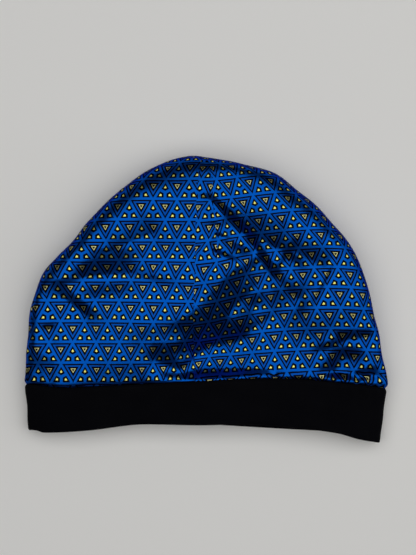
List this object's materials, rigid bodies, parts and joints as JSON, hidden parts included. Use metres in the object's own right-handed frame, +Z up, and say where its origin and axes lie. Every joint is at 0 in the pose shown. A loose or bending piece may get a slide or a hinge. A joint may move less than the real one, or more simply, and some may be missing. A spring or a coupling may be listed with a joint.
{
  "type": "skull cap",
  "caption": "Soft satin skull cap with a small triangle print, a wide plain black band folded double and an open mouth, lying flat on its back.",
  "frame": {"origin": "under the middle of the cap, on the surface that it lies on", "axes": "+X across the cap to the right, +Y from the mouth up to the crown's top, +Z up from the surface"},
  "size_m": [0.2836, 0.2242, 0.0466],
  "materials": {
    "print_satin": "glossy blue satin printed with small yellow and black triangles",
    "band_cloth": "plain black cloth with a low sheen"
  },
  "bodies": {
    "root": {"crown_front_left": "print_satin", "crown_front_right": "print_satin", "crown_back": "print_satin", "band": "band_cloth"}
  },
  "joints": []
}
